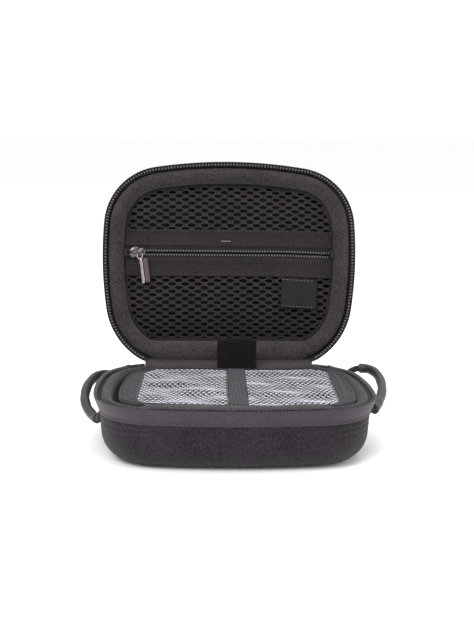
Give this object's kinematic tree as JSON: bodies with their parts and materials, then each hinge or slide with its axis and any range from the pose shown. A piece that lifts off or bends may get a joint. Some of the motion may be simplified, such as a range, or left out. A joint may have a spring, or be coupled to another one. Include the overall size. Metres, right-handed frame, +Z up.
{
  "type": "cable organizer pouch",
  "caption": "Zipped hard-shell cable pouch, open: padded base under a flip-up mesh divider, lid with a zipped mesh pocket, folded pull tab and sleeved side loops.",
  "frame": {"origin": "centre of the base's flat underside", "axes": "+X to the right of someone facing the open lid, +Y towards the hinge at the rear, +Z up"},
  "size_m": [0.1847, 0.1687, 0.1635],
  "materials": {
    "outer_fabric": "matte",
    "foam": "matte",
    "lining_fabric": "matte",
    "zip_tape": "satin",
    "zip_coil": "satin",
    "dark_metal": "gloss",
    "hinge_fabric": "matte",
    "black_mesh": "satin",
    "silver_mesh": "satin",
    "board": "matte",
    "elastic": "satin",
    "webbing": "matte",
    "label": "satin",
    "sleeve": "satin"
  },
  "bodies": {
    "base": {"base_cover": "outer_fabric", "base_shell": "foam", "base_lining": "lining_fabric", "base_collar": "lining_fabric", "base_zip_tape": "zip_tape", "base_zip_coil": "zip_coil", "zip_stop_left": "dark_metal", "zip_stop_right": "dark_metal", "hinge_strip_base": "hinge_fabric", "divider_hinge_tape": "hinge_fabric", "divider_ledge": "foam"},
    "lid": {"lid_cover": "outer_fabric", "lid_shell": "foam", "lid_lining": "lining_fabric", "lid_collar": "lining_fabric", "lid_zip_tape": "zip_tape", "lid_zip_coil": "zip_coil", "hinge_strip_lid": "hinge_fabric", "pocket_binding": "lining_fabric", "pocket_mesh_lower": "black_mesh", "pocket_facing_lower": "lining_fabric", "pocket_zip_tape_lower": "zip_tape", "pocket_zip_tape_upper": "zip_tape", "pocket_facing_upper": "lining_fabric", "pocket_mesh_upper": "black_mesh", "pocket_zip_coil_upper": "zip_coil", "pocket_zip_coil_lower": "zip_coil", "pocket_zip_stop_left": "dark_metal", "pocket_zip_stop_right": "dark_metal", "woven_label": "label"},
    "divider": {"divider_binding": "lining_fabric", "divider_cover_bottom": "lining_fabric", "divider_board": "board", "divider_cover_top": "lining_fabric", "mesh_window_left": "silver_mesh", "mesh_window_right": "silver_mesh", "divider_elastic": "elastic", "pull_tab": "webbing"},
    "slider_left": {"zip_slider_left": "dark_metal"},
    "slider_right": {"zip_slider_right": "dark_metal"},
    "pull_left": {"zip_pull_left": "dark_metal"},
    "pull_right": {"zip_pull_right": "dark_metal"},
    "pocket_slider": {"pocket_zip_slider": "dark_metal"},
    "pocket_pull": {"pocket_zip_pull": "dark_metal"},
    "loop_left": {"loop_strap_left": "webbing", "loop_sleeve_left": "sleeve"},
    "loop_right": {"loop_strap_right": "webbing", "loop_sleeve_right": "sleeve"}
  },
  "joints": [
    {"name": "lid_hinge", "type": "hinge", "parent": "base", "child": "lid", "pos_m": [0, 0.064, 0.0365], "axis": [-1, 0, 0], "range_deg": [-96.8, 83.2], "deforming": ["pull_tab"]},
    {"name": "divider_hinge", "type": "hinge", "parent": "base", "child": "divider", "pos_m": [0, -0.0512, 0.0354], "axis": [1, 0, 0], "range_deg": [0, 95]},
    {"name": "slider_left_turn", "type": "hinge", "parent": "base", "child": "slider_left", "pos_m": [-0.03388, 0.02338, 0.0365], "axis": [0, 0, 1], "range_deg": [0, 9]},
    {"name": "slider_right_turn", "type": "hinge", "parent": "base", "child": "slider_right", "pos_m": [0.03388, 0.02338, 0.0365], "axis": [0, 0, -1], "range_deg": [0, 9]},
    {"name": "pull_left_swing", "type": "hinge", "parent": "slider_left", "child": "pull_left", "pos_m": [-0.06465, 0.06138, 0.0365], "axis": [0, 0, 1], "range_deg": [0, 90]},
    {"name": "pull_right_swing", "type": "hinge", "parent": "slider_right", "child": "pull_right", "pos_m": [0.06465, 0.06138, 0.0365], "axis": [0, 0, -1], "range_deg": [0, 90]},
    {"name": "pocket_zip_slide", "type": "slide", "parent": "lid", "child": "pocket_slider", "axis": [1, 0, 0], "range_m": [0, 0.118]},
    {"name": "pocket_pull_swing", "type": "hinge", "parent": "pocket_slider", "child": "pocket_pull", "pos_m": [-0.0592, 0.07487, 0.1057], "axis": [-0.9848, -0.0206, -0.1724], "range_deg": [0, 150]},
    {"name": "loop_left_lift", "type": "hinge", "parent": "base", "child": "loop_left", "pos_m": [-0.0728, 0.0482, 0.0304], "axis": [0.06, 0.9931, 0.1009], "range_deg": [0, 25]},
    {"name": "loop_right_lift", "type": "hinge", "parent": "base", "child": "loop_right", "pos_m": [0.0724, 0.0494, 0.0294], "axis": [0.1074, -0.9932, -0.045], "range_deg": [0, 25]}
  ]
}
